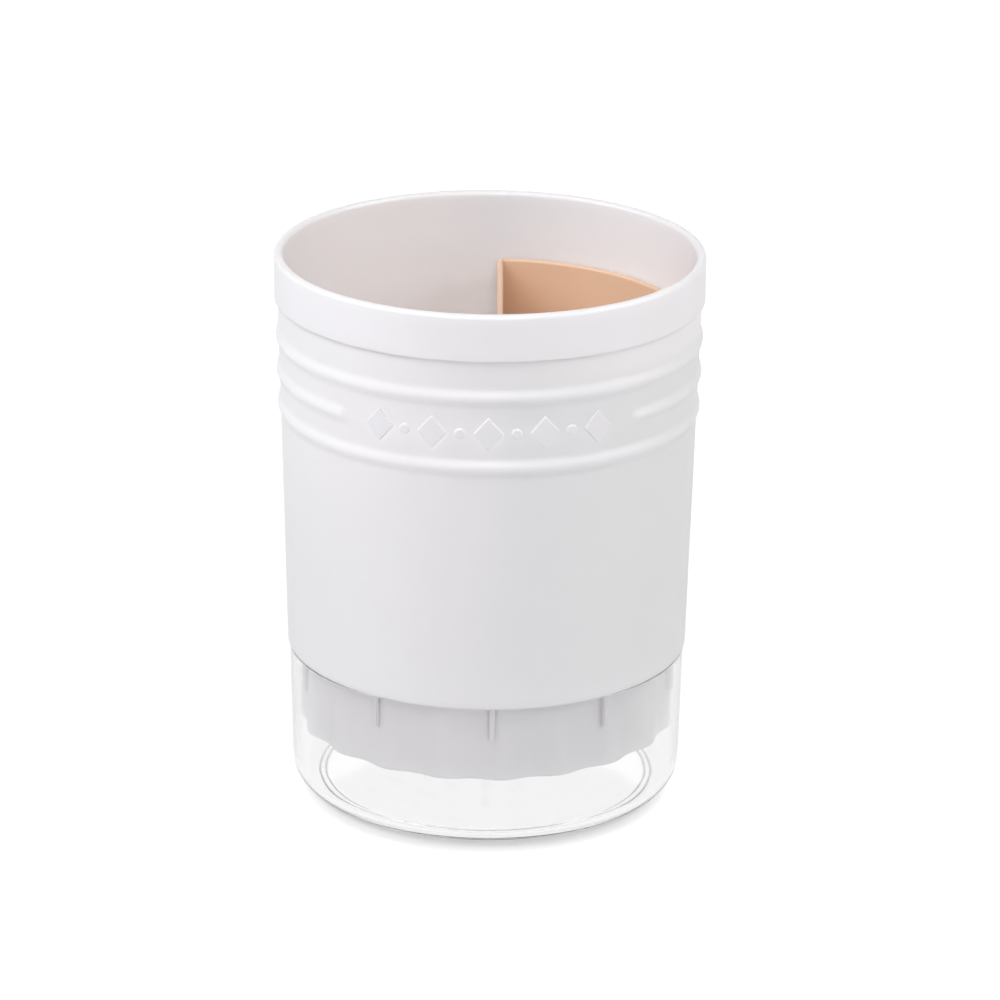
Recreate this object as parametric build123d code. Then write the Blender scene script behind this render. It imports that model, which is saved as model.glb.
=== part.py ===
from build123d import *
from math import cos, radians, sin, tan
import os

# Round chopstick holder: a drained cup standing in a clear drip base, with a lift-out divider.
# Millimetres, +Z up. The origin is the centre of the base's underside, on the cup's axis.
# The cup's front, with its ornament, faces -Y. Angles about the axis are measured from the front
# towards +X.

# ---- Cup: overall
total_height = 157.0
rim_radius = 60.0
seam_height = 42.3          # underside of the ledge, which rests on the base's rim
wall_draft = 1.35           # degrees, the wall widens upwards
wall = 2.0
seam_edge_radius = 0.35
collar_height = 13.0
collar_step = 0.9           # how far the collar stands out of the wall at its lower edge
collar_edge_radius = 0.25
lip_roundness = 0.95        # 1 rounds the rim's lip to a full half circle

# ---- Cup: raised beads round the outside
bead_count = 3
bead_drop = 10.75           # from the collar's lower edge to the uppermost crest
bead_pitch = 10.0
bead_width = 5.6
bead_rise = 1.0
broken_bead = 1             # index from the top; this one stops short of the ornament
bead_gap_half_angle = 43.5

# ---- Cup: ornament in the gap of the broken bead
ornament_rise = 0.7
ornament_sink = 1.0         # how far its solids reach into the wall
lozenge_count = 5
lozenge_height = 9.6
lozenge_width = 8.4
lozenge_pitch_angle = 15.0
dot_radius = 1.5

# ---- Cup: skirt that drops into the base
skirt_length = 22.4         # from the seam down
ledge_width = 4.1           # from the wall's outside in to the skirt's mean radius
skirt_wall = 1.7
flute_count = 20
flute_depth_bottom = 0.7    # half the ripple, at the bottom edge
flute_depth_top = 0.15
flute_angle = 5.0           # where a crest stands
points_per_flute = 8
skirt_edge_radius = 0.5
shoulder_height = 1.0       # the inside slope starts this far above the seam
shoulder_rise = 2.0         # and climbs this far from the skirt out to the wall
fin_count = 10
fin_angle = 1.8
fin_width = 1.6
fin_length = 10.2
fin_clearance = 0.15        # to the base's bore, at the fin's lower end

# ---- Drain floor: rings of radial slots
cup_floor = 2.0
slot_width = 2.4
slot_length = 9.0
slot_ring_radius = 12.5
slot_ring_pitch = 12.6
slot_ring_count = 3
slots_in_first_ring = 8

# ---- Drip base
base_step = 0.45            # how far the base's rim is set in from the wall above it
base_draft = 1.2            # degrees
base_wall = 1.9
base_floor = 1.9
base_rim_edge_radius = 0.6
base_corner_radius = 5.8    # outside, between the side and the underside
foot_inset = 8.5            # from the base's outside in to the middle of the foot ring
foot_width = 1.7
foot_height = 0.6           # how far the foot ring lifts the underside
foot_edge_radius = 0.3

# ---- Divider insert
divider_drop = 19.5         # from the cup's rim down to the divider's top
divider_wall = 1.6
divider_floor = 1.8
divider_left_face = 2.1     # x of the straight wall's outer face
divider_top_clearance = 0.8     # to the cup's wall, at the divider's top
divider_waist_clearance = 0.5   # to the skirt's bore, where the divider enters it
divider_corner_radius = 2.4
divider_edge_radius = 0.6
divider_foot_radius = 1.2
divider_column_pitch = 13.0     # its slots stand in columns and rows
divider_row_pitch = 5.4
divider_slot_margin = 4.0   # solid floor left beside the divider's walls

overshoot = 5.0             # how far cutting tools reach past what they cut


# ---- Shared geometry
def wall_radius(z):
    """Outside radius of the cup's wall at height z, without beads."""
    below_collar = total_height - collar_height - z
    return rim_radius - collar_step - below_collar * tan(radians(wall_draft))


# Heights and radii that several pieces share.
collar_bottom = total_height - collar_height
bead_top_height = collar_bottom - bead_drop
skirt_bottom = seam_height - skirt_length
skirt_radius = wall_radius(seam_height) - ledge_width
floor_top = skirt_bottom + cup_floor
shoulder_low = seam_height + shoulder_height
shoulder_high = shoulder_low + shoulder_rise
divider_top = total_height - divider_drop
base_floor_top = foot_height + base_floor


def base_radius(z):
    """Outside radius of the drip base at height z."""
    top = wall_radius(seam_height) - base_step
    return top - (seam_height - z) * tan(radians(base_draft))


def flute_depth(z):
    """Half the skirt's ripple at height z."""
    share = (z - skirt_bottom) / (seam_height - skirt_bottom)
    return flute_depth_bottom + (flute_depth_top - flute_depth_bottom) * share


def polar(radius, angle, z=0.0):
    """A point at an angle from the front, towards +X."""
    return Vector(radius * sin(radians(angle)), -radius * cos(radians(angle)), z)


def upright(radius, angle, z=0.0):
    """A location on the wall whose Z axis points straight out and whose Y axis points up."""
    outward = Vector(sin(radians(angle)), -cos(radians(angle)), 0)
    plane = Plane(origin=polar(radius, angle, z), x_dir=(0, 0, 1), z_dir=outward)
    return Location(plane) * Rotation(0, 0, -90)


def turned(points):
    """Revolve a closed outline of (radius, height) points about the Z axis."""
    outline = make_face(Plane.XZ * Polyline(*points, close=True))
    return revolve(outline, Axis.Z)


def rippled_face(mean_radius, z):
    """The skirt's rippled outline, as a face at height z."""
    steps = flute_count * points_per_flute
    outline = []
    for step in range(steps):
        angle = 360.0 * step / steps
        ripple = flute_depth(z) * cos(radians(flute_count * (angle - flute_angle)))
        outline.append(polar(mean_radius + ripple, angle, z))
    return make_face(Spline(*outline, periodic=True))


def rippled_solid(mean_radius, low, high):
    """The solid inside the rippled outline from one height to another."""
    return loft([rippled_face(mean_radius, low), rippled_face(mean_radius, high)])


def slot_cutter(centre, angle, low, high):
    """A round-ended slot whose length points along a direction from the front."""
    profile = SlotOverall(slot_length, slot_width)
    cutter = extrude(profile, high - low)
    return Pos(centre.X, centre.Y, low) * Rotation(0, 0, angle - 90) * cutter


# ---- Cup body
def bead(height):
    """A ring whose outer part stands out of the wall as a rounded bead."""
    arc_radius = ((bead_width / 2) ** 2 + bead_rise**2) / (2 * bead_rise)
    ring_radius = wall_radius(height) + bead_rise - arc_radius
    return ring_radius, arc_radius


def full_bead(height):
    ring_radius, arc_radius = bead(height)
    return Pos(0, 0, height) * Torus(ring_radius, arc_radius)


def broken_bead_solid(height):
    """A bead that stops either side of the front, with rounded ends."""
    ring_radius, arc_radius = bead(height)
    along = Vector(cos(radians(bead_gap_half_angle)), sin(radians(bead_gap_half_angle)), 0)
    start = Plane(origin=polar(ring_radius, bead_gap_half_angle, height), z_dir=along)
    ring = revolve(start * Circle(arc_radius), Axis.Z, 360 - 2 * bead_gap_half_angle)
    for side in (-1, 1):
        end = polar(ring_radius, side * bead_gap_half_angle, height)
        ring += Pos(end.X, end.Y, end.Z) * Sphere(arc_radius)
    return ring


def ornament(height):
    """Raised lozenges with dots between them, following the wall's curve."""
    face_radius = wall_radius(height)
    depth = ornament_sink + overshoot
    marks = []
    first = -(lozenge_count - 1) / 2
    for index in range(2 * lozenge_count - 1):
        angle = (first + index / 2) * lozenge_pitch_angle
        place = upright(face_radius - ornament_sink, angle, height)
        if index % 2 == 0:
            half_width = lozenge_width / 2
            half_height = lozenge_height / 2
            shape = Polygon(
                (half_width, 0), (0, half_height), (-half_width, 0), (0, -half_height), align=None
            )
        else:
            shape = Circle(dot_radius)
        marks.append(place * extrude(shape, depth))
    low = height - lozenge_height
    high = height + lozenge_height
    sleeve = turned(
        [
            (0, low),
            (wall_radius(low) + ornament_rise, low),
            (wall_radius(high) + ornament_rise, high),
            (0, high),
        ]
    )
    return [mark & sleeve for mark in marks]


def drain_slots(low, high):
    """Rings of radial slots through a floor, more of them in each wider ring."""
    cutters = []
    for ring in range(slot_ring_count):
        radius = slot_ring_radius + ring * slot_ring_pitch
        count = slots_in_first_ring * (ring + 1)
        for index in range(count):
            angle = 360.0 * index / count
            cutters.append(slot_cutter(polar(radius, angle), angle, low, high))
    return cutters


def make_cup_body():
    body = turned(
        [
            (0, seam_height),
            (wall_radius(seam_height), seam_height),
            (wall_radius(collar_bottom), collar_bottom),
            (rim_radius, collar_bottom),
            (rim_radius, total_height),
            (0, total_height),
        ]
    )
    seam_edge = body.edges().filter_by(GeomType.CIRCLE).group_by(Axis.Z)[0]
    body = fillet(seam_edge, seam_edge_radius)
    collar_edge = [
        edge
        for edge in body.edges().filter_by(GeomType.CIRCLE)
        if abs(edge.center().Z - collar_bottom) < 0.01 and abs(edge.radius - rim_radius) < 0.01
    ]
    body = fillet(collar_edge, collar_edge_radius)

    for index in range(bead_count):
        height = bead_top_height - index * bead_pitch
        body += broken_bead_solid(height) if index == broken_bead else full_bead(height)
    body += ornament(bead_top_height - broken_bead * bead_pitch)

    skirt = rippled_solid(skirt_radius, skirt_bottom, seam_height)
    skirt_edge = skirt.edges().group_by(Axis.Z)[0]
    body += fillet(skirt_edge, skirt_edge_radius)
    fin_low = seam_height - fin_length
    fin_reach = base_radius(fin_low) - base_wall - fin_clearance
    fin_root = skirt_radius - flute_depth_bottom
    for index in range(fin_count):
        angle = fin_angle + 360.0 * index / fin_count
        middle = polar((fin_root + fin_reach) / 2, angle, fin_low + fin_length / 2)
        blade = Box(fin_width, fin_reach - fin_root, fin_length)
        body += Pos(middle.X, middle.Y, middle.Z) * Rotation(0, 0, angle) * blade

    upper_well = turned(
        [
            (0, shoulder_low),
            (skirt_radius - skirt_wall, shoulder_low),
            (wall_radius(shoulder_high) - wall, shoulder_high),
            (wall_radius(total_height + overshoot) - wall, total_height + overshoot),
            (0, total_height + overshoot),
        ]
    )
    lower_well = rippled_solid(skirt_radius - skirt_wall, floor_top, shoulder_low + overshoot)
    body = body - upper_well - lower_well
    body -= drain_slots(skirt_bottom - overshoot, floor_top + overshoot)

    lip_thickness = rim_radius - (wall_radius(total_height) - wall)
    rim_edges = body.edges().filter_by(GeomType.CIRCLE).group_by(Axis.Z)[-1]
    return fillet(rim_edges, lip_roundness * lip_thickness / 2)


# ---- Drip base
def make_drip_base():
    tray = turned(
        [
            (0, foot_height),
            (base_radius(foot_height), foot_height),
            (base_radius(seam_height), seam_height),
            (0, seam_height),
        ]
    )
    outer_corner = tray.edges().filter_by(GeomType.CIRCLE).group_by(Axis.Z)[0]
    tray = fillet(outer_corner, base_corner_radius)
    inner_top = base_radius(seam_height) - base_wall
    well = turned(
        [
            (0, base_floor_top),
            (base_radius(base_floor_top) - base_wall, base_floor_top),
            (inner_top, seam_height),
            (inner_top, seam_height + overshoot),
            (0, seam_height + overshoot),
        ]
    )
    inner_corner = well.edges().filter_by(GeomType.CIRCLE).group_by(Axis.Z)[0]
    tray -= fillet(inner_corner, base_corner_radius - base_wall)
    rim_edges = tray.edges().filter_by(GeomType.CIRCLE).group_by(Axis.Z)[-1]
    tray = fillet(rim_edges, base_rim_edge_radius)

    # The ring it stands on reaches half way into the floor, so that the two join.
    foot_radius = base_radius(0) - foot_inset
    foot_inner = foot_radius - foot_width / 2
    foot_outer = foot_radius + foot_width / 2
    foot_top = foot_height + base_floor / 2
    foot = turned(
        [(foot_inner, 0), (foot_outer, 0), (foot_outer, foot_top), (foot_inner, foot_top)]
    )
    foot_edges = foot.edges().filter_by(GeomType.CIRCLE).group_by(Axis.Z)[0]
    return tray + fillet(foot_edges, foot_edge_radius)


# ---- Divider insert
def divider_radius(z):
    """Outside radius of the divider's curved wall at height z."""
    waist = skirt_radius - skirt_wall - flute_depth_top - divider_waist_clearance
    top = wall_radius(divider_top) - wall - divider_top_clearance
    return waist + (top - waist) * (z - shoulder_low) / (divider_top - shoulder_low)


def divider_solid(offset, low, high):
    """The D-shaped block inside the divider's outline, moved in by offset."""
    cone = turned(
        [
            (0, low),
            (divider_radius(low) - offset, low),
            (divider_radius(high) - offset, high),
            (0, high),
        ]
    )
    left = divider_left_face + offset
    half = Pos(left + rim_radius, 0, (low + high) / 2) * Box(
        2 * rim_radius, 2 * rim_radius, 2 * (high - low)
    )
    block = cone & half
    corners = [
        edge
        for edge in block.edges()
        if abs(edge.center().X - left) < 0.01 and abs(edge.center().Y) > 1.0
    ]
    return fillet(corners, divider_corner_radius - min(offset, divider_corner_radius / 2))


def divider_slots(low, high):
    """Rows of slots across the divider's floor, kept clear of its walls."""
    cutters = []
    left = divider_left_face + divider_wall + divider_slot_margin
    reach = divider_radius(low) - divider_wall - divider_slot_margin
    columns = int(reach // divider_column_pitch)
    rows = int(reach // divider_row_pitch)
    for column in range(columns):
        x = left + slot_length / 2 + column * divider_column_pitch
        for row in range(-rows, rows + 1):
            y = row * divider_row_pitch
            far_corner = Vector(x + slot_length / 2, abs(y) + slot_width / 2, 0)
            if far_corner.length < reach:
                cutters.append(slot_cutter(Vector(x, y, 0), 90, low - overshoot, high + overshoot))
    return cutters


def make_divider_insert():
    shell = divider_solid(0.0, floor_top, divider_top)
    foot_edges = shell.edges().group_by(Axis.Z)[0]
    shell = fillet(foot_edges, divider_foot_radius)
    well_floor = floor_top + divider_floor
    shell -= divider_solid(divider_wall, well_floor, divider_top + overshoot)
    shell -= divider_slots(floor_top, well_floor)
    top_edges = shell.edges().group_by(Axis.Z)[-1]
    return fillet(top_edges, divider_edge_radius)


# ---- Write one STEP per piece
makers = {
    "cup_body": make_cup_body,
    "drip_base": make_drip_base,
    "divider_insert": make_divider_insert,
}

os.makedirs("parts", exist_ok=True)
for name, make in makers.items():
    piece = make()
    piece.label = name
    export_step(piece, f"parts/{name}.step")
    print(name, "done")
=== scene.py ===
import math

import bmesh
import bpy
from mathutils import Matrix, Vector


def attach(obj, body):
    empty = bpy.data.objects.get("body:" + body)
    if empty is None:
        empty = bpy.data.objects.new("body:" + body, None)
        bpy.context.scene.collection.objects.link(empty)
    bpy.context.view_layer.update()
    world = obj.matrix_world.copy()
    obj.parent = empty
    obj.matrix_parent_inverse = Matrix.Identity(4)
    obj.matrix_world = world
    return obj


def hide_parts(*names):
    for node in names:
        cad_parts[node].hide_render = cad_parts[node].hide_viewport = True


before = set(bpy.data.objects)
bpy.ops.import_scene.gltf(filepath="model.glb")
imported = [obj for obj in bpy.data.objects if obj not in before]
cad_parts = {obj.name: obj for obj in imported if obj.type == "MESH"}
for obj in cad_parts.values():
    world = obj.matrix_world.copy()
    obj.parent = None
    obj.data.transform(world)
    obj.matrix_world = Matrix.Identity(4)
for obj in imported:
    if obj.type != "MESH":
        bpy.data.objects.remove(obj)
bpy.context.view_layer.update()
mm = 0.001
seamGap = 0.002 * mm  # points nearer than this are one point
sliverSize = 0.005 * mm  # edges shorter than this are cleared away after a cut


# Sizes are in millimetres and angles in degrees, down to the floor, light and camera.
# Shared shapes. Outlines are lists of (radius, height) points.
def arcPoints(centre, radius, start, end, steps):
    points = []
    for step in range(steps + 1):
        angle = math.radians(start + (end - start) * step / steps)
        x = centre[0] + radius * math.cos(angle)
        points.append((x, centre[1] + radius * math.sin(angle)))
    return points


def linePoints(start, end, steps):
    points = []
    for step in range(steps + 1):
        share = step / steps
        points.append(tuple(a + (b - a) * share for a, b in zip(start, end)))
    return points


def levels(start, end, steps):
    return [point[0] for point in linePoints((start,), (end,), steps)]


def addPiece(name, data):
    piece = bpy.data.objects.new(name, data)
    bpy.context.scene.collection.objects.link(piece)
    return piece


def makeObject(name, vertices, faces=(), edges=()):
    mesh = bpy.data.meshes.new(name)
    mesh.from_pydata([Vector(v) * mm for v in vertices], list(edges), list(faces))
    mesh.validate()
    return addPiece(name, mesh)


def smoothByAngle(piece, degrees):
    mesh = piece.data
    mesh.polygons.foreach_set("use_smooth", [True] * len(mesh.polygons))
    mesh.set_sharp_from_angle(angle=math.radians(degrees))
    mesh.update()


def faceOutwards(piece):
    # slivers left by a cut and bare edges go first
    work = bmesh.new()
    work.from_mesh(piece.data)
    bmesh.ops.dissolve_degenerate(work, dist=sliverSize, edges=work.edges)
    bare = [edge for edge in work.edges if not edge.link_faces]
    bmesh.ops.delete(work, geom=bare, context="EDGES")
    bmesh.ops.recalc_face_normals(work, faces=work.faces)
    work.to_mesh(piece.data)
    work.free()


# A small maker for node trees, so that each tree below reads as its own recipe.
class TreeMaker:
    def __init__(self, group):
        self.group = group

    def node(self, kind, inputs=None, **settings):
        made = self.group.nodes.new(kind)
        for name, value in settings.items():
            setattr(made, name, value)
        for key, value in (inputs or {}).items():
            self.plug(made.inputs[key], value)
        return made

    def plug(self, socket, value):
        if isinstance(value, bpy.types.NodeSocket):
            self.group.links.new(value, socket)
        else:
            socket.default_value = value

    def maths(self, operation, first, second=0.0, third=0.0):
        made = self.node("ShaderNodeMath", operation=operation)
        for socket, value in zip(made.inputs, (first, second, third)):
            self.plug(socket, value)
        return made.outputs[0]

    def vector(self, x=0.0, y=0.0, z=0.0):
        return self.node("ShaderNodeCombineXYZ", {"X": x, "Y": y, "Z": z}).outputs[0]

    def split(self, vector):
        return self.node("ShaderNodeSeparateXYZ", {"Vector": vector}).outputs


socketKinds = {
    "int": "NodeSocketInt",
    "size": "NodeSocketFloat",
    "material": "NodeSocketMaterial",
}


class ShapeTree(TreeMaker):
    def __init__(self, name, sizes):
        super().__init__(bpy.data.node_groups.new(name, "GeometryNodeTree"))
        face = self.group.interface
        geometry = "NodeSocketGeometry"
        face.new_socket("Geometry", in_out="INPUT", socket_type=geometry)
        for size, kind in {**sizes, "Material": "material"}.items():
            face.new_socket(size, in_out="INPUT", socket_type=socketKinds[kind])
        face.new_socket("Geometry", in_out="OUTPUT", socket_type=geometry)
        self.given = self.node("NodeGroupInput").outputs

    def stored(self, name):
        found = self.node(
            "GeometryNodeInputNamedAttribute", {"Name": name}, data_type="FLOAT"
        )
        return found.outputs["Attribute"]

    def roundAxis(self, radius, angle, height):
        # angle 0 is the front, on -Y
        forward = self.maths("MULTIPLY", self.maths("COSINE", angle), -1.0)
        return self.vector(
            self.maths("MULTIPLY", radius, self.maths("SINE", angle)),
            self.maths("MULTIPLY", radius, forward),
            height,
        )

    def finish(self, geometry):
        real = self.node("GeometryNodeRealizeInstances", {"Geometry": geometry})
        painted = self.node(
            "GeometryNodeSetMaterial",
            {"Geometry": real.outputs[0], "Material": self.given["Material"]},
        )
        self.node("NodeGroupOutput", {"Geometry": painted.outputs[0]})
        return self.group


def applyTree(piece, group, sizes, material):
    modifier = piece.modifiers.new(group.name, "NODES")
    modifier.node_group = group
    values = {**sizes, "Material": material}
    for item in group.interface.items_tree:
        isInput = item.item_type == "SOCKET" and item.in_out == "INPUT"
        if isInput and item.name in values:
            modifier[item.identifier] = values[item.name]
    bpy.context.view_layer.update()
    evaluated = piece.evaluated_get(bpy.context.evaluated_depsgraph_get())
    mesh = bpy.data.meshes.new_from_object(evaluated)
    piece.modifiers.remove(modifier)
    piece.data = mesh


# Materials
def plainShader(name, **values):
    material = bpy.data.materials.new(name)
    material.use_nodes = True
    maker = TreeMaker(material.node_tree)
    shader = material.node_tree.nodes["Principled BSDF"]
    for key, value in values.items():
        shader.inputs[key.replace("_", " ")].default_value = value
    return material, maker, shader


def addNoise(maker, noise):
    place = maker.node("ShaderNodeTexCoord").outputs["Object"]
    sizes = {
        "Vector": place,
        "Scale": noise["scale"],
        "Detail": noise["detail"],
        "Roughness": noise["roughness"],
    }
    return maker.node("ShaderNodeTexNoise", sizes).outputs["Fac"]


def addGloss(maker, shader, noise, limits):
    gloss = maker.node(
        "ShaderNodeMapRange", {"Value": noise, "To Min": limits[0], "To Max": limits[1]}
    )
    maker.plug(shader.inputs["Roughness"], gloss.outputs[0])


mouldedFinish = {
    "ior": 1.49,
    "spread": 3.5,  # mm that light travels inside
    "cloud": {"scale": 35.0, "detail": 3.0, "roughness": 0.55},
    "grain": {"scale": 2600.0, "detail": 2.0, "roughness": 0.6},
    "grainHeight": 0.012,
    "grainStrength": 0.16,
}
plastics = {
    "whitePlastic": {
        "colour": (0.89, 0.872, 0.894),
        "shade": (0.87, 0.852, 0.874),
        "roughness": (0.30, 0.42),
        "inside": 1.0,
    },
    "whiteRelief": {
        "colour": (0.82, 0.804, 0.824),
        "shade": (0.80, 0.784, 0.804),
        "roughness": (0.30, 0.42),
        "inside": 0.0,
    },
    "beigePlastic": {
        "colour": (0.79, 0.535, 0.37),
        "shade": (0.76, 0.51, 0.35),
        "roughness": (0.38, 0.50),
        "inside": 0.0,
    },
}


def mouldedPlastic(name, plastic):
    # a soft two-tone cloud under a fine moulded grain; "inside" is the share of light
    # that spreads through the plastic
    material, maker, shader = plainShader(
        name,
        IOR=mouldedFinish["ior"],
        Subsurface_Weight=plastic["inside"],
        Subsurface_Scale=mouldedFinish["spread"] * mm,
        Subsurface_Radius=(1.0, 1.0, 1.0),
    )
    cloud = addNoise(maker, mouldedFinish["cloud"])
    # 6 and 7 are the mixing node's two colours, and 2 is its result
    tint = maker.node("ShaderNodeMix", {"Factor": cloud}, data_type="RGBA")
    tint.inputs[6].default_value = (*plastic["shade"], 1.0)
    tint.inputs[7].default_value = (*plastic["colour"], 1.0)
    maker.plug(shader.inputs["Base Color"], tint.outputs[2])
    grain = addNoise(maker, mouldedFinish["grain"])
    addGloss(maker, shader, grain, plastic["roughness"])
    bump = maker.node(
        "ShaderNodeBump",
        {
            "Height": grain,
            "Strength": mouldedFinish["grainStrength"],
            "Distance": mouldedFinish["grainHeight"] * mm,
        },
    )
    maker.plug(shader.inputs["Normal"], bump.outputs[0])
    return material


whitePlastic, whiteRelief, beigePlastic = (
    mouldedPlastic(name, plastic) for name, plastic in plastics.items()
)


clearFinish = {
    "tint": (0.986, 0.982, 0.986, 1.0),
    "ior": 1.49,
    "haze": {"scale": 60.0, "detail": 4.0, "roughness": 0.5},
    "roughness": (0.04, 0.08),
    "depthTint": (0.89, 0.905, 0.92, 1.0),
    "depthDensity": 20.0,  # per metre, so that thick edges read slightly darker
}


def clearPlasticShader():
    # polished clear plastic with a very faint haze
    material, maker, shader = plainShader(
        "clearPlastic",
        Base_Color=clearFinish["tint"],
        Transmission_Weight=1.0,
        IOR=clearFinish["ior"],
    )
    haze = addNoise(maker, clearFinish["haze"])
    addGloss(maker, shader, haze, clearFinish["roughness"])
    depth = maker.node(
        "ShaderNodeVolumeAbsorption",
        {"Color": clearFinish["depthTint"], "Density": clearFinish["depthDensity"]},
    )
    output = material.node_tree.nodes["Material Output"]
    maker.plug(output.inputs["Volume"], depth.outputs[0])
    return material


clearPlastic = clearPlasticShader()
print("materials ready")


# A shell turned about the Z axis from a closed outline. Points marked "ripple" wave in
# and out round the axis, and points marked "outside" carry a bead that stops short of
# the front.
def makeTurnedTree():
    tree = ShapeTree(
        "turnedShell",
        {
            "Segments": "int",
            "Flutes": "size",
            "Flute Angle": "size",
            "Bead Height": "size",
            "Bead Rise": "size",
            "Bead Half Width": "size",
            "Gap Half Angle": "size",
        },
    )
    given = tree.given
    outline = given["Geometry"]
    count = tree.node(
        "GeometryNodeAttributeDomainSize", {"Geometry": outline}, component="MESH"
    ).outputs["Point Count"]
    columns = tree.maths("ADD", given["Segments"], 1.0)
    grid = tree.node(
        "GeometryNodeMeshGrid",
        {"Size X": 1.0, "Size Y": 1.0, "Vertices X": columns, "Vertices Y": count},
    ).outputs["Mesh"]
    index = tree.node("GeometryNodeInputIndex").outputs[0]
    row = tree.maths("FLOORED_MODULO", index, count)
    midStep = tree.maths("ADD", index, 0.5)  # clear of rounding either way
    column = tree.maths("FLOOR", tree.maths("DIVIDE", midStep, count))

    def outlineValue(value, kind):
        return tree.node(
            "GeometryNodeSampleIndex",
            {"Geometry": outline, "Value": value, "Index": row},
            data_type=kind,
            domain="POINT",
        ).outputs[0]

    def marked(name):
        return outlineValue(tree.stored(name), "FLOAT")

    position = tree.node("GeometryNodeInputPosition").outputs[0]
    x, _, z = tree.split(outlineValue(position, "FLOAT_VECTOR"))
    turn = tree.maths("DIVIDE", column, given["Segments"])
    angle = tree.maths("MULTIPLY", tree.maths("SUBTRACT", turn, 0.5), 2 * math.pi)

    fluteTurn = tree.maths("SUBTRACT", angle, given["Flute Angle"])
    fluteWave = tree.maths("COSINE", tree.maths("MULTIPLY", fluteTurn, given["Flutes"]))
    wave = tree.maths("MULTIPLY", fluteWave, marked("ripple"))

    sideways = tree.maths("ABSOLUTE", angle)
    intoGap = tree.maths("SUBTRACT", given["Gap Half Angle"], sideways)
    alongGap = tree.maths("MAXIMUM", tree.maths("MULTIPLY", intoGap, x), 0.0)
    aboveBead = tree.maths("SUBTRACT", z, given["Bead Height"])
    away = tree.maths("POWER", alongGap, 2.0)
    away = tree.maths("ADD", away, tree.maths("POWER", aboveBead, 2.0))
    away = tree.maths("SQRT", away)
    share = tree.maths("DIVIDE", away, given["Bead Half Width"])
    share = tree.maths("MINIMUM", share, 1.0)
    swell = tree.maths("COSINE", tree.maths("MULTIPLY", share, math.pi))
    swell = tree.maths("MULTIPLY", tree.maths("ADD", swell, 1.0), 0.5)
    bead = tree.maths("MULTIPLY", swell, given["Bead Rise"])
    bead = tree.maths("MULTIPLY", bead, marked("outside"))

    radius = tree.maths("ADD", tree.maths("ADD", x, wave), bead)
    place = tree.roundAxis(radius, angle, z)
    turned = tree.node("GeometryNodeSetPosition", {"Geometry": grid, "Position": place})
    merged = tree.node(
        "GeometryNodeMergeByDistance",
        {"Geometry": turned.outputs[0], "Distance": seamGap},
    )
    return tree.finish(merged.outputs[0])


def makeOutline(name, points):
    # points are (radius, height, ripple, outside); the first is repeated to close up
    loop = list(points) + [points[0]]
    edges = [(i, i + 1) for i in range(len(loop) - 1)]
    piece = makeObject(name, [(p[0], 0.0, p[1]) for p in loop], edges=edges)
    for index, label, scale in ((2, "ripple", mm), (3, "outside", 1.0)):
        attribute = piece.data.attributes.new(label, "FLOAT", "POINT")
        attribute.data.foreach_set("value", [p[index] * scale for p in loop])
    return piece


turnedTree = makeTurnedTree()


# Straight, round-ended slots, cut at the points handed in and turned to their "turn".
slots = {
    "width": 2.4,
    "length": 9.0,
    "endSides": 20,
    "pastFloor": 2.0,  # how much longer the cutter is than the floor is thick
    "firstRing": 12.5,
    "ringPitch": 12.6,
    "rings": 3,
    "perRing": 8,
}


def makeSlotTree():
    tree = ShapeTree(
        "drainSlots", {"Slot Length": "size", "Slot Width": "size", "Depth": "size"}
    )
    given = tree.given
    radius = tree.maths("DIVIDE", given["Slot Width"], 2.0)
    half = tree.maths("DIVIDE", given["Slot Length"], 2.0)
    reach = tree.maths("SUBTRACT", half, radius)
    joined = tree.node("GeometryNodeJoinGeometry")
    for side in (-1.0, 1.0):
        drum = tree.node(
            "GeometryNodeMeshCylinder",
            {"Vertices": slots["endSides"], "Radius": radius, "Depth": given["Depth"]},
        )
        shift = tree.vector(tree.maths("MULTIPLY", reach, side))
        moved = tree.node(
            "GeometryNodeTransform",
            {"Geometry": drum.outputs["Mesh"], "Translation": shift},
        )
        tree.plug(joined.inputs[0], moved.outputs[0])
    cutter = tree.node("GeometryNodeConvexHull", {"Geometry": joined.outputs[0]})

    parted = tree.node(
        "GeometryNodeSeparateGeometry",
        {"Geometry": given["Geometry"], "Selection": tree.stored("slotMark")},
        domain="POINT",
    )
    cutters = tree.node(
        "GeometryNodeInstanceOnPoints",
        {
            "Points": parted.outputs[0],
            "Instance": cutter.outputs[0],
            "Rotation": tree.vector(0.0, 0.0, tree.stored("turn")),
        },
    )
    solid = tree.node("GeometryNodeRealizeInstances", {"Geometry": cutters.outputs[0]})
    cut = tree.node("GeometryNodeMeshBoolean", operation="DIFFERENCE", solver="EXACT")
    tree.plug(cut.inputs[0], parted.outputs[1])
    tree.plug(cut.inputs[1], solid.outputs[0])
    return tree.finish(cut.outputs[0])


slotTree = makeSlotTree()


def cutSlots(piece, marks, floor, material):
    # loose points beside the shell tell the tree where each slot goes and how it turns
    mesh = piece.data
    first = len(mesh.vertices)
    mesh.vertices.add(len(marks))
    for offset, (place, _) in enumerate(marks):
        mesh.vertices[first + offset].co = Vector(place) * mm
    turns = [turn for _, turn in marks]
    for label, values in (("slotMark", [1.0] * len(marks)), ("turn", turns)):
        attribute = mesh.attributes.new(label, "FLOAT", "POINT")
        attribute.data.foreach_set("value", [0.0] * first + values)
    mesh.update()
    sizes = {
        "Slot Length": slots["length"] * mm,
        "Slot Width": slots["width"] * mm,
        "Depth": (floor + slots["pastFloor"]) * mm,
    }
    applyTree(piece, slotTree, sizes, material)
    faceOutwards(piece)


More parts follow.
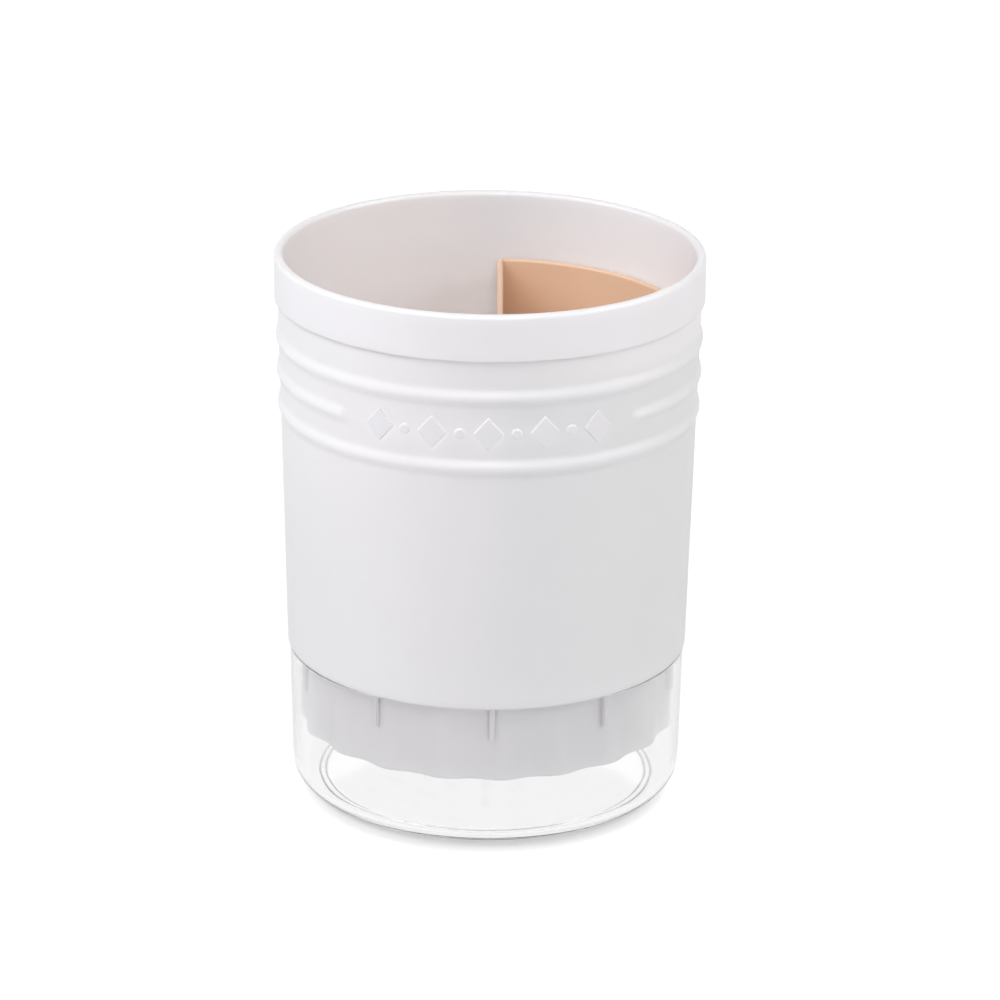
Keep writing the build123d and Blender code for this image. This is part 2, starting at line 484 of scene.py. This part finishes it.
# Cup body
cup = {
    "totalHeight": 157.0,
    "rimRadius": 60.0,
    "seamHeight": 42.3,
    "wallDraft": 1.35,
    "wall": 2.0,
    "seamEdge": 0.35,
    "collarHeight": 13.0,
    "collarStep": 0.9,
    "collarEdge": 0.25,
    "collarHollow": 0.15,
    "lipRoundness": 0.95,
    "beadDrop": 10.75,
    "beadPitch": 10.0,
    "beadHalfWidth": 2.95,
    "beadMargin": 4.0,
    "beadRise": 0.78,
    "beadGapHalfAngle": 43.5,
    "skirtLength": 22.4,
    "ledgeWidth": 4.1,
    "skirtWall": 1.7,
    "skirtEdge": 0.5,
    "skirtRoot": 0.25,
    "rootRipple": 0.2,
    "flutes": 20,
    "fluteAngle": 5.0,
    "fluteBottom": 0.7,
    "fluteTop": 0.35,
    "shoulderHeight": 1.0,
    "shoulderRise": 2.0,
    "shoulderTop": ((-0.15, 0.0), (-0.9, -0.4)),  # from the wall's foot inside
    "shoulderFoot": (0.5, 0.25),  # from the skirt's top inside
    "floor": 2.0,
    "insideFillet": 1.2,
    "segments": 480,
    "edgeSteps": 4,
    "wallSteps": 14,
    "beadSteps": 62,
    "neckSteps": 3,
    "collarSteps": 4,
    "lipSteps": 9,
    "filletSteps": 5,
    "skirtSteps": 10,
    "skirtInsideSteps": 6,
    "shadeAngle": 38,
}
# how far the straight runs stay away from the arcs and corners, so that they shade flat
cupGaps = {
    "aboveSeam": 3.0,
    "beads": 1.0,
    "neck": 0.4,
    "collarFoot": 1.0,
    "lipOutside": 0.6,
    "lipInside": 1.0,
    "aboveShoulder": 1.5,
    "skirtInside": 0.2,
    "belowShoulder": 2.0,
    "fillet": 0.6,
    "floorEdge": 6.0,
    "underEdge": 7.0,
    "skirtFoot": 1.2,
    "belowSeam": 0.3,
}

collarBottom = cup["totalHeight"] - cup["collarHeight"]
beadTop = collarBottom - cup["beadDrop"]
skirtBottom = cup["seamHeight"] - cup["skirtLength"]
floorTop = skirtBottom + cup["floor"]
shoulderLow = cup["seamHeight"] + cup["shoulderHeight"]
shoulderHigh = shoulderLow + cup["shoulderRise"]


def wallRadius(z):
    slope = math.tan(math.radians(cup["wallDraft"]))
    return cup["rimRadius"] - cup["collarStep"] - (collarBottom - z) * slope


skirtRadius = wallRadius(cup["seamHeight"]) - cup["ledgeWidth"]


def fluteDepth(z):
    share = (z - skirtBottom) / cup["skirtLength"]
    return cup["fluteBottom"] + (cup["fluteTop"] - cup["fluteBottom"]) * share


def beadSwell(z, height):
    away = min(abs(z - height) / cup["beadHalfWidth"], 1.0)
    return cup["beadRise"] * (math.cos(math.pi * away) + 1) / 2


def cupOutline():
    points = []

    def add(section, ripple=0.0, outside=0.0):
        for radius, z in section:
            points.append((radius, z, fluteDepth(z) * ripple, outside))

    def addWall(start, end, steps):
        add([(wallRadius(z), z) for z in levels(start, end, steps)])

    # up the outside, over the outer two beads; the tree adds the broken middle one
    gaps = cupGaps
    steps = cup["edgeSteps"]
    edge = cup["seamEdge"]
    seam = cup["seamHeight"]
    add(arcPoints((wallRadius(seam) - edge, seam + edge), edge, -90, 0, steps))
    lowBead = beadTop - 2 * cup["beadPitch"]
    beadsFrom, beadsTo = lowBead - cup["beadMargin"], beadTop + cup["beadMargin"]
    addWall(seam + gaps["aboveSeam"], beadsFrom - gaps["beads"], cup["wallSteps"])
    for z in levels(beadsFrom, beadsTo, cup["beadSteps"]):
        swell = beadSwell(z, beadTop) + beadSwell(z, lowBead)
        add([(wallRadius(z) + swell, z)], outside=1.0)
    addWall(beadsTo + gaps["beads"], collarBottom - gaps["neck"], cup["neckSteps"])

    # the collar's step, with a small hollow under it
    neck = wallRadius(collarBottom)
    hollow = cup["collarHollow"]
    add([(neck, collarBottom - hollow), (neck + hollow, collarBottom)])
    rim = cup["rimRadius"]
    edge = cup["collarEdge"]
    add(arcPoints((rim - edge, collarBottom + edge), edge, -90, 0, steps))
    top = cup["totalHeight"]
    bore = wallRadius(top) - cup["wall"]
    lip = cup["lipRoundness"] * (rim - bore) / 2
    low, high = collarBottom + gaps["collarFoot"], top - lip - gaps["lipOutside"]
    add(linePoints((rim, low), (rim, high), cup["collarSteps"]))
    add(arcPoints((rim - lip, top - lip), lip, 0, 90, cup["lipSteps"]))
    add(arcPoints((bore + lip, top - lip), lip, 90, 180, cup["lipSteps"]))

    # down the inside, over the shoulder and into the skirt
    high, low = top - lip - gaps["lipInside"], shoulderHigh + gaps["aboveShoulder"]
    for z in levels(high, low, cup["wallSteps"]):
        add([(wallRadius(z) - cup["wall"], z)])
    inner = skirtRadius - cup["skirtWall"]
    foot = wallRadius(shoulderHigh) - cup["wall"]
    add([(foot + dx, shoulderHigh + dz) for dx, dz in cup["shoulderTop"]])
    dx, dz = cup["shoulderFoot"]
    add([(inner + dx, shoulderLow + dz)])
    add([(inner, shoulderLow - gaps["skirtInside"])], ripple=1.0)
    fillet = cup["insideFillet"]
    filletTop = floorTop + fillet
    high, low = shoulderLow - gaps["belowShoulder"], filletTop + gaps["fillet"]
    run = linePoints((inner, high), (inner, low), cup["skirtInsideSteps"])
    add(run, ripple=1.0)
    steps = cup["filletSteps"]
    add(arcPoints((inner - fillet, filletTop), fillet, 0, -90, steps), ripple=1.0)
    add([(inner - gaps["floorEdge"], floorTop), (0.0, floorTop), (0.0, skirtBottom)])

    # out under the floor and up the skirt to the ledge
    add([(skirtRadius - gaps["underEdge"], skirtBottom)])
    edge = cup["skirtEdge"]
    turnAt = (skirtRadius - edge, skirtBottom + edge)
    add(arcPoints(turnAt, edge, -90, 0, steps), ripple=1.0)
    low, high = skirtBottom + gaps["skirtFoot"], seam - gaps["belowSeam"]
    run = linePoints((skirtRadius, low), (skirtRadius, high), cup["skirtSteps"])
    add(run, ripple=1.0)
    add([(skirtRadius + cup["skirtRoot"], seam)], ripple=cup["rootRipple"])
    return points


def drainMarks():
    # rings of slots that point outwards from the middle of the floor
    marks = []
    for ring in range(slots["rings"]):
        radius = slots["firstRing"] + ring * slots["ringPitch"]
        count = slots["perRing"] * (ring + 1)
        for index in range(count):
            turn = 2 * math.pi * index / count
            x, y = radius * math.cos(turn), radius * math.sin(turn)
            marks.append(((x, y, floorTop - cup["floor"] / 2), turn))
    return marks


def makeCup():
    piece = makeOutline("cupShell", cupOutline())
    sizes = {
        "Segments": cup["segments"],
        "Flutes": float(cup["flutes"]),
        "Flute Angle": math.radians(cup["fluteAngle"]),
        "Bead Height": (beadTop - cup["beadPitch"]) * mm,
        "Bead Rise": cup["beadRise"] * mm,
        "Bead Half Width": cup["beadHalfWidth"] * mm,
        "Gap Half Angle": math.radians(cup["beadGapHalfAngle"]),
    }
    applyTree(piece, turnedTree, sizes, whitePlastic)
    faceOutwards(piece)
    cutSlots(piece, drainMarks(), cup["floor"], whitePlastic)
    smoothByAngle(piece, cup["shadeAngle"])
    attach(piece, "cup")
    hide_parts("cup_body")
    return piece


cupShell = makeCup()
print("cup shell:", len(cupShell.data.polygons), "faces")


# Drip base
base = {
    "step": 0.45,
    "draft": 1.2,
    "wall": 1.9,
    "floor": 1.9,
    "rimEdge": 0.6,
    "corner": 5.8,
    "footInset": 8.5,
    "footWidth": 1.7,
    "footHeight": 0.6,
    "footEdge": 0.3,
    "gap": 1.0,  # between an arc and the straight run beside it
    "cornerGap": 1.5,
    "floorGap": 2.0,
    "footSteps": 5,
    "floorSteps": 6,
    "cornerSteps": 16,
    "wallSteps": 10,
    "rimSteps": 7,
    "insideSteps": 8,
    "segments": 400,
    "shadeAngle": 38,
}


def baseRadius(z):
    seam = cup["seamHeight"]
    slope = math.tan(math.radians(base["draft"]))
    return wallRadius(seam) - base["step"] - (seam - z) * slope


def baseOutline():
    top = cup["seamHeight"]
    rim = base["rimEdge"]
    wall = base["wall"]
    corner = base["corner"]
    edge = base["footEdge"]
    gap = base["gap"]
    under = base["footHeight"]
    floor = under + base["floor"]

    # the underside, with the foot ring rounded at its roots and at its face
    middle = baseRadius(0) - base["footInset"]
    inside = middle - base["footWidth"] / 2
    outside = middle + base["footWidth"] / 2
    steps = base["footSteps"]
    section = linePoints((0.0, under), (inside - edge - gap, under), base["floorSteps"])
    section += arcPoints((inside - edge, under - edge), edge, 90, 0, steps)
    section += arcPoints((inside + edge, edge), edge, 180, 270, steps)
    section += arcPoints((outside - edge, edge), edge, -90, 0, steps)
    section += arcPoints((outside + edge, under - edge), edge, 180, 90, steps)

    # the outer corner, up the wall and over the rim
    turnAt = (baseRadius(under) - corner, under + corner)
    section += arcPoints(turnAt, corner, -90, 0, base["cornerSteps"])
    wallTop = top - rim - gap
    for z in levels(under + corner + base["cornerGap"], wallTop, base["wallSteps"]):
        section.append((baseRadius(z), z))
    steps = base["rimSteps"]
    outer = baseRadius(top)
    section += arcPoints((outer - rim, top - rim), rim, 0, 90, steps)
    section += arcPoints((outer - wall + rim, top - rim), rim, 90, 180, steps)

    # down the inside and back to the middle
    fillet = corner - wall
    for z in levels(wallTop, floor + fillet + gap, base["insideSteps"]):
        section.append((baseRadius(z) - wall, z))
    low = baseRadius(floor) - wall
    turnAt = (low - fillet, floor + fillet)
    section += arcPoints(turnAt, fillet, 0, -90, base["cornerSteps"])
    flat = low - fillet - base["floorGap"]
    section += linePoints((flat, floor), (0.0, floor), base["floorSteps"])
    return [(radius, z, 0.0, 0.0) for radius, z in section]


def makeBase():
    piece = makeOutline("dripBase", baseOutline())
    sizes = {
        "Segments": base["segments"],
        "Bead Half Width": 1.0,  # no bead here, but the tree divides by this
    }
    applyTree(piece, turnedTree, sizes, clearPlastic)
    faceOutwards(piece)
    smoothByAngle(piece, base["shadeAngle"])
    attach(piece, "base")
    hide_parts("drip_base")
    return piece


dripBase = makeBase()
print("drip base:", len(dripBase.data.polygons), "faces")


# Fins under the ledge, one blade repeated round the skirt
fins = {
    "count": 10,
    "angle": 1.8,
    "width": 1.6,
    "length": 10.2,
    "clearance": 0.15,
    "sink": 0.4,  # how deep the root goes into the skirt
    "edge": 0.3,
    "edgeSteps": 3,
    "shadeAngle": 40,
}


def makeRingTree():
    tree = ShapeTree("bladeRing", {"Count": "int", "First Angle": "size"})
    given = tree.given
    points = tree.node(
        "GeometryNodePoints", {"Count": given["Count"], "Position": (0.0, 0.0, 0.0)}
    ).outputs[0]
    index = tree.node("GeometryNodeInputIndex").outputs[0]
    turn = tree.maths("MULTIPLY", index, 2 * math.pi)
    turn = tree.maths("DIVIDE", turn, given["Count"])
    turn = tree.maths("ADD", turn, given["First Angle"])
    blades = tree.node(
        "GeometryNodeInstanceOnPoints",
        {
            "Points": points,
            "Instance": given["Geometry"],
            "Rotation": tree.vector(0.0, 0.0, turn),
        },
    )
    return tree.finish(blades.outputs[0])


def makeFins():
    length = fins["length"]
    low = cup["seamHeight"] - length
    reach = baseRadius(low) - base["wall"] - fins["clearance"]
    root = skirtRadius - cup["fluteBottom"] - fins["sink"]
    work = bmesh.new()
    bmesh.ops.create_cube(work, size=1.0)
    for vertex in work.verts:
        vertex.co.x *= fins["width"]
        vertex.co.y = -(root + reach) / 2 + vertex.co.y * (reach - root)
        vertex.co.z = low + length / 2 + vertex.co.z * length
    outer = -reach + fins["edge"] / 2
    rounded = [e for e in work.edges if max(v.co.y for v in e.verts) < outer]
    bmesh.ops.bevel(
        work,
        geom=rounded,
        offset=fins["edge"],
        segments=fins["edgeSteps"],
        affect="EDGES",
    )
    bmesh.ops.scale(work, vec=(mm, mm, mm), verts=work.verts)
    mesh = bpy.data.meshes.new("cupFins")
    work.to_mesh(mesh)
    work.free()
    piece = addPiece("cupFins", mesh)
    sizes = {"Count": fins["count"], "First Angle": math.radians(fins["angle"])}
    applyTree(piece, makeRingTree(), sizes, whiteRelief)
    faceOutwards(piece)
    smoothByAngle(piece, fins["shadeAngle"])
    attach(piece, "cup")


makeFins()


# Raised ornament: a flat row of tiles, wrapped round the wall
ornament = {
    "rise": 0.7,
    "sink": 0.5,
    "lozenges": 5,
    "lozengeHeight": 9.6,
    "lozengeWidth": 8.4,
    "cornerRadius": 0.45,
    "cornerSteps": 6,
    "sideSteps": 8,
    "pitchAngle": 15.0,
    "dotRadius": 1.5,
    "dotSides": 28,
    "edge": 0.4,
    "edgeSteps": 5,
    "meanReach": 0.72,  # a tile's mean reach as a share of its largest
    "topRings": (0.66, 0.36),  # where the flat top is divided, as shares of the tile
    "shadeAngle": 50,
}


def makeWrapTree():
    # the tile lies flat: x runs round the wall, z up it, and y is its height off it
    tree = ShapeTree(
        "wrappedRow",
        {
            "Count": "int",
            "Pitch": "size",
            "Radius": "size",
            "Height": "size",
            "Draft": "size",
        },
    )
    given = tree.given
    points = tree.node("GeometryNodePoints", {"Count": given["Count"]})
    row = tree.node(
        "GeometryNodeInstanceOnPoints",
        {"Points": points.outputs[0], "Instance": given["Geometry"]},
    )
    index = tree.node("GeometryNodeInputIndex").outputs[0]
    middle = tree.maths("DIVIDE", tree.maths("SUBTRACT", given["Count"], 1.0), 2.0)
    shift = tree.maths("SUBTRACT", index, middle)
    shift = tree.maths("MULTIPLY", shift, given["Pitch"])
    spread = tree.node(
        "GeometryNodeTranslateInstances",
        {"Instances": row.outputs[0], "Translation": tree.vector(shift)},
    )
    flat = tree.node("GeometryNodeRealizeInstances", {"Geometry": spread.outputs[0]})
    x, y, z = tree.split(tree.node("GeometryNodeInputPosition").outputs[0])
    lean = tree.maths("MULTIPLY", z, given["Draft"])
    wall = tree.maths("ADD", given["Radius"], lean)
    place = tree.roundAxis(
        tree.maths("ADD", wall, y),
        tree.maths("DIVIDE", x, given["Radius"]),
        tree.maths("ADD", z, given["Height"]),
    )
    wrapped = tree.node(
        "GeometryNodeSetPosition", {"Geometry": flat.outputs[0], "Position": place}
    )
    return tree.finish(wrapped.outputs[0])


def lozengeEdge():
    # a lozenge with rounded corners, as an even run of points round its edge
    radius = ornament["cornerRadius"]
    halfWidth = ornament["lozengeWidth"] / 2
    halfHeight = ornament["lozengeHeight"] / 2
    lean = math.atan2(halfWidth, halfHeight)
    right = halfWidth - radius / math.cos(lean)
    high = halfHeight - radius / math.sin(lean)
    corners = [(right, 0.0), (0.0, high), (-right, 0.0), (0.0, -high)]
    halves = [math.degrees(lean), math.degrees(math.pi / 2 - lean)] * 2
    arcs = []
    for index, (centre, half) in enumerate(zip(corners, halves)):
        middle = 90.0 * index
        steps = ornament["cornerSteps"]
        arcs.append(arcPoints(centre, radius, middle - half, middle + half, steps))
    points = []
    for arc, following in zip(arcs, arcs[1:] + arcs[:1]):
        points += arc
        points += linePoints(arc[-1], following[0], ornament["sideSteps"])[1:-1]
    return points


def ringFaces(count, rings, first, last):
    # bands of four-sided faces between rings of points, closed by two fans
    faces = []
    for i in range(count):
        j = (i + 1) % count
        faces.append((first, j, i))
        for ring in range(rings - 1):
            a = ring * count
            faces.append((a + i, a + j, a + count + j, a + count + i))
        top = (rings - 1) * count
        faces.append((last, top + i, top + j))
    return faces


def reliefTile(name, edgePoints):
    # rings from the foot up the side, over a rounded edge and in to the middle
    rise = ornament["rise"]
    sink = ornament["sink"]
    edge = ornament["edge"]
    steps = ornament["edgeSteps"]
    size = max(math.hypot(x, z) for x, z in edgePoints) * ornament["meanReach"]
    rings = [(1.0, -sink), (1.0, rise - edge)]
    for step in range(1, steps + 1):
        angle = math.radians(90 * step / steps)
        inward = edge * (1 - math.cos(angle)) / size
        rings.append((1.0 - inward, rise - edge + edge * math.sin(angle)))
    rings += [(share, rise) for share in ornament["topRings"]]
    vertices = [(x * share, y, z * share) for share, y in rings for x, z in edgePoints]
    first = len(vertices)
    vertices += [(0.0, -sink, 0.0), (0.0, rise, 0.0)]
    faces = ringFaces(len(edgePoints), len(rings), first, first + 1)
    return makeObject(name, vertices, faces)


def makeOrnament():
    height = beadTop - cup["beadPitch"]
    dot = arcPoints((0.0, 0.0), ornament["dotRadius"], 0, 360, ornament["dotSides"])
    wrapTree = makeWrapTree()
    for name, edgePoints, count in (
        ("cupLozenges", lozengeEdge(), ornament["lozenges"]),
        ("cupDots", dot[:-1], ornament["lozenges"] - 1),
    ):
        piece = reliefTile(name, edgePoints)
        sizes = {
            "Count": count,
            "Pitch": math.radians(ornament["pitchAngle"]) * wallRadius(height) * mm,
            "Radius": wallRadius(height) * mm,
            "Height": height * mm,
            "Draft": math.tan(math.radians(cup["wallDraft"])),
        }
        applyTree(piece, wrapTree, sizes, whiteRelief)
        faceOutwards(piece)
        smoothByAngle(piece, ornament["shadeAngle"])
        # moulded in one with the wall, so it leaves no dark print on the inside
        piece.visible_shadow = False
        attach(piece, "cup")


makeOrnament()
print("fins and ornament ready")


# Divider insert
divider = {
    "drop": 19.5,
    "wall": 1.6,
    "floor": 1.8,
    "leftFace": 2.1,
    "topClearance": 0.8,
    "waistClearance": 0.5,
    "corner": 2.4,
    "leastCorner": 0.5,
    "edge": 0.7,
    "foot": 1.2,
    "insideFillet": 1.0,
    "gap": 0.5,  # between an arc and the straight run beside it
    "footGap": 2.0,
    "floorGap": 1.5,
    "columnPitch": 13.0,
    "rowPitch": 5.4,
    "slotMargin": 4.0,
    "arcSteps": 120,
    "cornerSteps": 8,
    "straightSteps": 30,
    "wallSteps": 24,
    "edgeSteps": 6,
    "filletSteps": 5,
    "shadeAngle": 38,
}
dividerTop = cup["totalHeight"] - divider["drop"]


def dividerRadius(z):
    waist = skirtRadius - cup["skirtWall"] - cup["fluteTop"] - divider["waistClearance"]
    top = wallRadius(dividerTop) - cup["wall"] - divider["topClearance"]
    return waist + (top - waist) * (z - shoulderLow) / (dividerTop - shoulderLow)


def dividerRing(z, inset):
    # a D with rounded corners: the cup's curve on the right, a straight left wall
    radius = dividerRadius(z) - inset
    left = divider["leftFace"] + inset
    corner = max(divider["corner"] - inset, divider["leastCorner"])
    x = left + corner
    y = math.sqrt((radius - corner) ** 2 - x**2)
    turn = math.degrees(math.atan2(y, x))
    steps = divider["cornerSteps"]
    points = arcPoints((0.0, 0.0), radius, -turn, turn, divider["arcSteps"])
    points += arcPoints((x, y), corner, turn, 180, steps)[1:]
    points += linePoints((left, y), (left, -y), divider["straightSteps"])[1:]
    points += arcPoints((x, -y), corner, 180, 360 - turn, steps)[1:-1]
    return [(x, y, z) for x, y in points]


def dividerRings():
    # up the outside, over the top edge, down the inside and in over the floor
    foot = divider["foot"]
    edge = divider["edge"]
    wall = divider["wall"]
    fillet = divider["insideFillet"]
    wellFloor = floorTop + divider["floor"]
    edgeLow = dividerTop - edge
    high = edgeLow - divider["gap"]
    steps = divider["edgeSteps"]
    section = arcPoints((foot, floorTop + foot), foot, 270, 180, steps)
    low = floorTop + foot + divider["footGap"]
    for z in levels(low, high, divider["wallSteps"]):
        section.append((0.0, z))
    section += arcPoints((edge, edgeLow), edge, 180, 90, steps)
    section += arcPoints((wall - edge, edgeLow), edge, 90, 0, steps)
    low = wellFloor + fillet + divider["gap"]
    for z in levels(high, low, divider["wallSteps"]):
        section.append((wall, z))
    turnAt = (wall + fillet, wellFloor + fillet)
    section += arcPoints(turnAt, fillet, 180, 270, divider["filletSteps"])
    section.append((wall + fillet + divider["floorGap"], wellFloor))
    return [dividerRing(z, inset) for inset, z in section]


def dividerMarks():
    # rows and columns of slots, as far out as they fit
    marks = []
    left = divider["leftFace"] + divider["wall"] + divider["slotMargin"]
    reach = dividerRadius(floorTop) - divider["wall"] - divider["slotMargin"]
    rows = int(reach // divider["rowPitch"])
    for column in range(int(reach // divider["columnPitch"])):
        x = left + slots["length"] / 2 + column * divider["columnPitch"]
        for row in range(-rows, rows + 1):
            y = row * divider["rowPitch"]
            corner = (x + slots["length"] / 2, abs(y) + slots["width"] / 2)
            if math.hypot(*corner) < reach:
                marks.append(((x, y, floorTop + divider["floor"] / 2), 0.0))
    return marks


def makeDivider():
    rings = dividerRings()
    vertices = [point for ring in rings for point in ring]
    middle = dividerRadius(floorTop) / 2
    first = len(vertices)
    wellFloor = floorTop + divider["floor"]
    vertices += [(middle, 0.0, floorTop), (middle, 0.0, wellFloor)]
    faces = ringFaces(len(rings[0]), len(rings), first, first + 1)
    piece = makeObject("dividerInsert", vertices, faces)
    faceOutwards(piece)
    cutSlots(piece, dividerMarks(), divider["floor"], beigePlastic)
    smoothByAngle(piece, divider["shadeAngle"])
    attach(piece, "divider")
    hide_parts("divider_insert")
    return piece


dividerInsert = makeDivider()
print("divider:", len(dividerInsert.data.polygons), "faces")


# Floor, light and camera, in metres, watts and degrees
studio = {
    "floorSize": 8.0,
    "floorDrop": 0.05,  # mm below the foot, so that the two faces never coincide
    "floorWhite": 0.8,
    # "from" and "to" are the reach of a glow's change in mm; each pair is near, far
    # painted shade: near the foot the seen floor glows weaker, so the floor in front of
    # the base reads grey even where no shadow falls; the matt share there also shows
    # the real shadow. The centre is set forward so that this painted shade lies in
    # front of the base.
    "floorSeen": {
        "centre": (0.0, -0.006, 0.0),
        "from": 47.5,
        "to": 53.0,
        "glow": (0.50, 1.0),
        "strength": (0.85, 1.06),
    },
    # painted light: seen through the clear base, the floor under it glows brighter by
    # the foot than further out, and this glow also lights the skirt
    "floorThroughClear": {
        "centre": (0.0, 0.0, 0.0),
        "from": 46.0,
        "to": 50.0,
        "glow": (0.9, 0.9),
        "strength": (1.17, 1.02),
    },
    "bounceShare": 0.93,
    "lampTarget": (0.0, 0.0, 0.1),
    "cameraPlace": (0.0, -1.2231, 0.5316),
    "cameraTurn": 0.161,
    "cameraPitch": 20.14,
    "cameraRoll": 0.61,
    "cameraLens": 165.64,
    "cameraSensor": 36.0,
}
lamps = {
    "frontLamp": {
        "place": (0.0, -1.4, 1.1),
        "size": 1.0,
        "power": 11.8,
        "colour": (1.0, 1.0, 1.0),
    },
    "highLamp": {
        "place": (-0.9, -0.7, 1.5),
        "size": 0.8,
        "power": 10.4,
        "colour": (0.97, 0.98, 1.0),
    },
    "leftLamp": {
        "place": (-1.3, -0.2, 1.1),
        "size": 0.8,
        "power": 11.0,
        "colour": (0.95, 0.965, 1.0),
    },
    "rightLamp": {
        "place": (1.3, -0.2, 1.1),
        "size": 0.8,
        "power": 10.7,
        "colour": (1.0, 1.0, 0.99),
    },
    "lowLamp": {
        "place": (1.5, -0.5, 0.5),
        "size": 1.0,
        "power": 3.0,
        "colour": (1.0, 1.0, 0.99),
    },
}
plainWhite = (1.0, 1.0, 1.0, 1.0)


def seenRays(maker):
    # the first is 1 on every ray that shows the backdrop, the second only through the
    # clear base; both fade on rays that light a matt face
    path = maker.node("ShaderNodeLightPath").outputs
    bounced = maker.maths("GREATER_THAN", path["Diffuse Depth"], 0.5)
    kept = maker.maths("MULTIPLY_ADD", bounced, studio["bounceShare"] - 1.0, 1.0)
    through = maker.maths("MULTIPLY", path["Is Transmission Ray"], kept)
    seen = maker.maths("MAXIMUM", path["Is Camera Ray"], path["Is Glossy Ray"])
    seen = maker.maths("MULTIPLY", seen, kept)
    return maker.maths("MAXIMUM", seen, through), through


def floorSurface(maker):
    seen, through = seenRays(maker)
    place = maker.node("ShaderNodeTexCoord").outputs["Object"]

    def spread(look, key):
        # from its value by the foot to its value further out; by the foot this gives
        # painted shade on the seen floor and painted light on the floor seen through
        # the clear base
        away = maker.node(
            "ShaderNodeVectorMath", {0: place, 1: look["centre"]}, operation="DISTANCE"
        )
        return maker.node(
            "ShaderNodeMapRange",
            {
                "Value": away.outputs["Value"],
                "From Min": look["from"] * mm,
                "From Max": look["to"] * mm,
                "To Min": look[key][0],
                "To Max": look[key][1],
            },
        ).outputs[0]

    def blend(key):
        plain = spread(studio["floorSeen"], key)
        clear = spread(studio["floorThroughClear"], key)
        values = {"Factor": through, "A": plain, "B": clear}
        return maker.node("ShaderNodeMix", values, data_type="FLOAT").outputs[0]

    white = (studio["floorWhite"],) * 3 + (1.0,)
    matt = maker.node("ShaderNodeBsdfDiffuse", {"Color": white}).outputs[0]
    glow = maker.node(
        "ShaderNodeEmission", {"Color": plainWhite, "Strength": blend("strength")}
    ).outputs[0]
    share = maker.maths("MULTIPLY", seen, blend("glow"))
    return maker.node("ShaderNodeMixShader", {0: share, 1: matt, 2: glow}).outputs[0]


def makeFloor():
    half = studio["floorSize"] / 2 / mm
    low = -studio["floorDrop"]
    signs = ((-1, -1), (1, -1), (1, 1), (-1, 1))
    corners = [(x * half, y * half, low) for x, y in signs]
    piece = makeObject("studioFloor", corners, [(0, 1, 2, 3)])
    material = bpy.data.materials.new("floorWhite")
    material.use_nodes = True
    nodes = material.node_tree.nodes
    nodes.remove(nodes["Principled BSDF"])
    maker = TreeMaker(material.node_tree)
    maker.plug(nodes["Material Output"].inputs["Surface"], floorSurface(maker))
    piece.data.materials.append(material)


def makeWorld():
    world = bpy.data.worlds.new("studioWorld")
    bpy.context.scene.world = world
    world.use_nodes = True
    maker = TreeMaker(world.node_tree)
    background = world.node_tree.nodes["Background"]
    maker.plug(background.inputs["Strength"], seenRays(maker)[0])
    background.inputs["Color"].default_value = plainWhite


def makeLamp(name, lamp):
    light = bpy.data.lights.new(name, "AREA")
    light.shape = "SQUARE"
    light.size = lamp["size"]
    light.energy = lamp["power"]
    light.color = lamp["colour"]
    piece = addPiece(name, light)
    piece.location = lamp["place"]
    aim = Vector(studio["lampTarget"]) - Vector(lamp["place"])
    piece.rotation_euler = aim.to_track_quat("-Z", "Y").to_euler()


def makeCamera():
    camera = bpy.data.cameras.new("studioCamera")
    camera.sensor_width = studio["cameraSensor"]
    camera.lens = studio["cameraLens"]
    piece = addPiece("studioCamera", camera)
    turn = math.radians(studio["cameraTurn"])
    pitch = math.radians(studio["cameraPitch"])
    roll = math.radians(studio["cameraRoll"])
    level = Vector((math.cos(turn), -math.sin(turn), 0.0))
    ahead = math.cos(pitch)
    forward = Vector(
        (math.sin(turn) * ahead, math.cos(turn) * ahead, -math.sin(pitch))
    )
    upright = level.cross(forward)
    right = math.cos(roll) * level + math.sin(roll) * upright
    up = math.cos(roll) * upright - math.sin(roll) * level
    piece.location = studio["cameraPlace"]
    piece.rotation_mode = "QUATERNION"
    axes = Matrix((right, up, -forward)).transposed()
    piece.rotation_quaternion = axes.to_quaternion()
    bpy.context.scene.camera = piece


makeFloor()
makeWorld()
for lampName, lamp in lamps.items():
    makeLamp(lampName, lamp)
makeCamera()
bpy.context.scene.view_settings.view_transform = "Standard"
print("studio ready")
